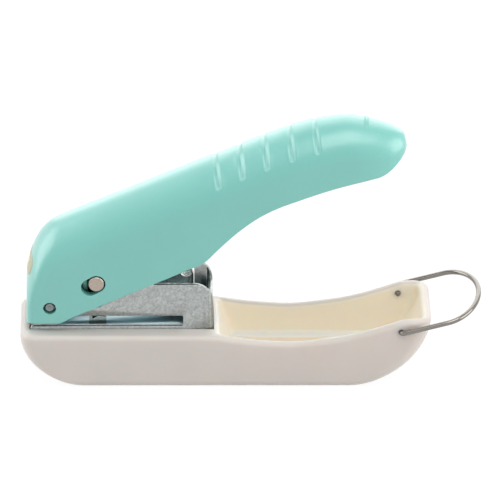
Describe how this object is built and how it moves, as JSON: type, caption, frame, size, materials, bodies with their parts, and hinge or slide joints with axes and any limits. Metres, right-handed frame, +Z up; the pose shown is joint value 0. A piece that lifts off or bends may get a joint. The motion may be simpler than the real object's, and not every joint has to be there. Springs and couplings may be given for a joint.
{
  "type": "star hole punch",
  "caption": "Hand-held star hole punch with a folded metal frame in an open chip tray, a hollow sprung lever handle and a wire bail.",
  "frame": {"origin": "centre of the tray's flat underside, on the surface that the punch stands on", "axes": "+X from the pivot end to the bail end, +Y across the tray to the side away from the visible pin faces, +Z up"},
  "size_m": [0.1457, 0.037, 0.088],
  "materials": {
    "tray_plastic": "satin moulded white",
    "handle_plastic": "satin moulded mint",
    "plated_sheet": "mottled zinc plating",
    "tool_steel": "ground steel",
    "plated_pin": "bright nickel plating",
    "spring_wire": "bright drawn wire"
  },
  "bodies": {
    "base": {"tray": "tray_plastic", "frame": "plated_sheet", "die_plate": "plated_sheet", "guide_plate": "plated_sheet", "pivot_pin": "plated_pin", "return_spring": "spring_wire"},
    "handle": {"handle": "handle_plastic"},
    "punch": {"star_punch": "tool_steel", "cross_pin": "plated_pin"},
    "bail": {"bail": "spring_wire"}
  },
  "joints": [
    {"name": "handle_hinge", "type": "hinge", "parent": "base", "child": "handle", "pos_m": [-0.0557, 0, 0.0269], "axis": [0, 1, 0], "range_deg": [0, 24], "stiffness_Nm_per_rad": 0.5, "springref_deg": -22.92, "deforming": ["return_spring"]},
    {"name": "punch_slide", "type": "slide", "parent": "base", "child": "punch", "axis": [0, 0, -1], "range_m": [0, 0.007]},
    {"name": "bail_hinge", "type": "hinge", "parent": "base", "child": "bail", "pos_m": [0.055, 0, 0.02], "axis": [0, -1, 0], "range_deg": [-45, 61]}
  ],
  "couplings": [
    {"joint": "punch_slide", "follows": "handle_hinge", "m_per_rad": 0.0166}
  ]
}
